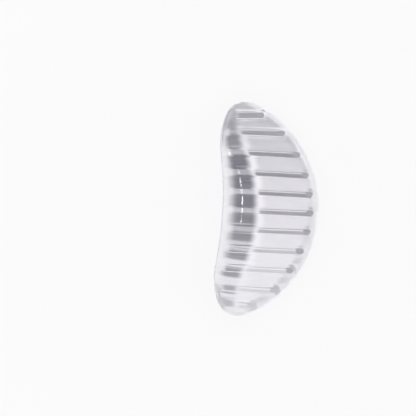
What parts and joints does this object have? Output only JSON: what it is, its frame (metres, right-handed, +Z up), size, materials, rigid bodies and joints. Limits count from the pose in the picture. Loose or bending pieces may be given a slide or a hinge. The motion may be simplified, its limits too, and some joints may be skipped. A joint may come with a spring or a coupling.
{
  "type": "silicone arch support pad",
  "caption": "Clear silicone arch support pad: a crescent that rises from a thin convex edge to a rounded crest, with round-ended grooves across the top and a flat base that rests on an insole.",
  "frame": {"origin": "middle of the pad's bounding box, on its flat base", "axes": "+X towards the convex edge, +Y along the length from tip to tip, +Z up from the base"},
  "size_m": [0.0424, 0.09, 0.0117],
  "materials": {
    "clear_silicone": "clear, glossy moulded silicone gel"
  },
  "bodies": {
    "root": {"arch_pad": "clear_silicone"}
  },
  "joints": []
}
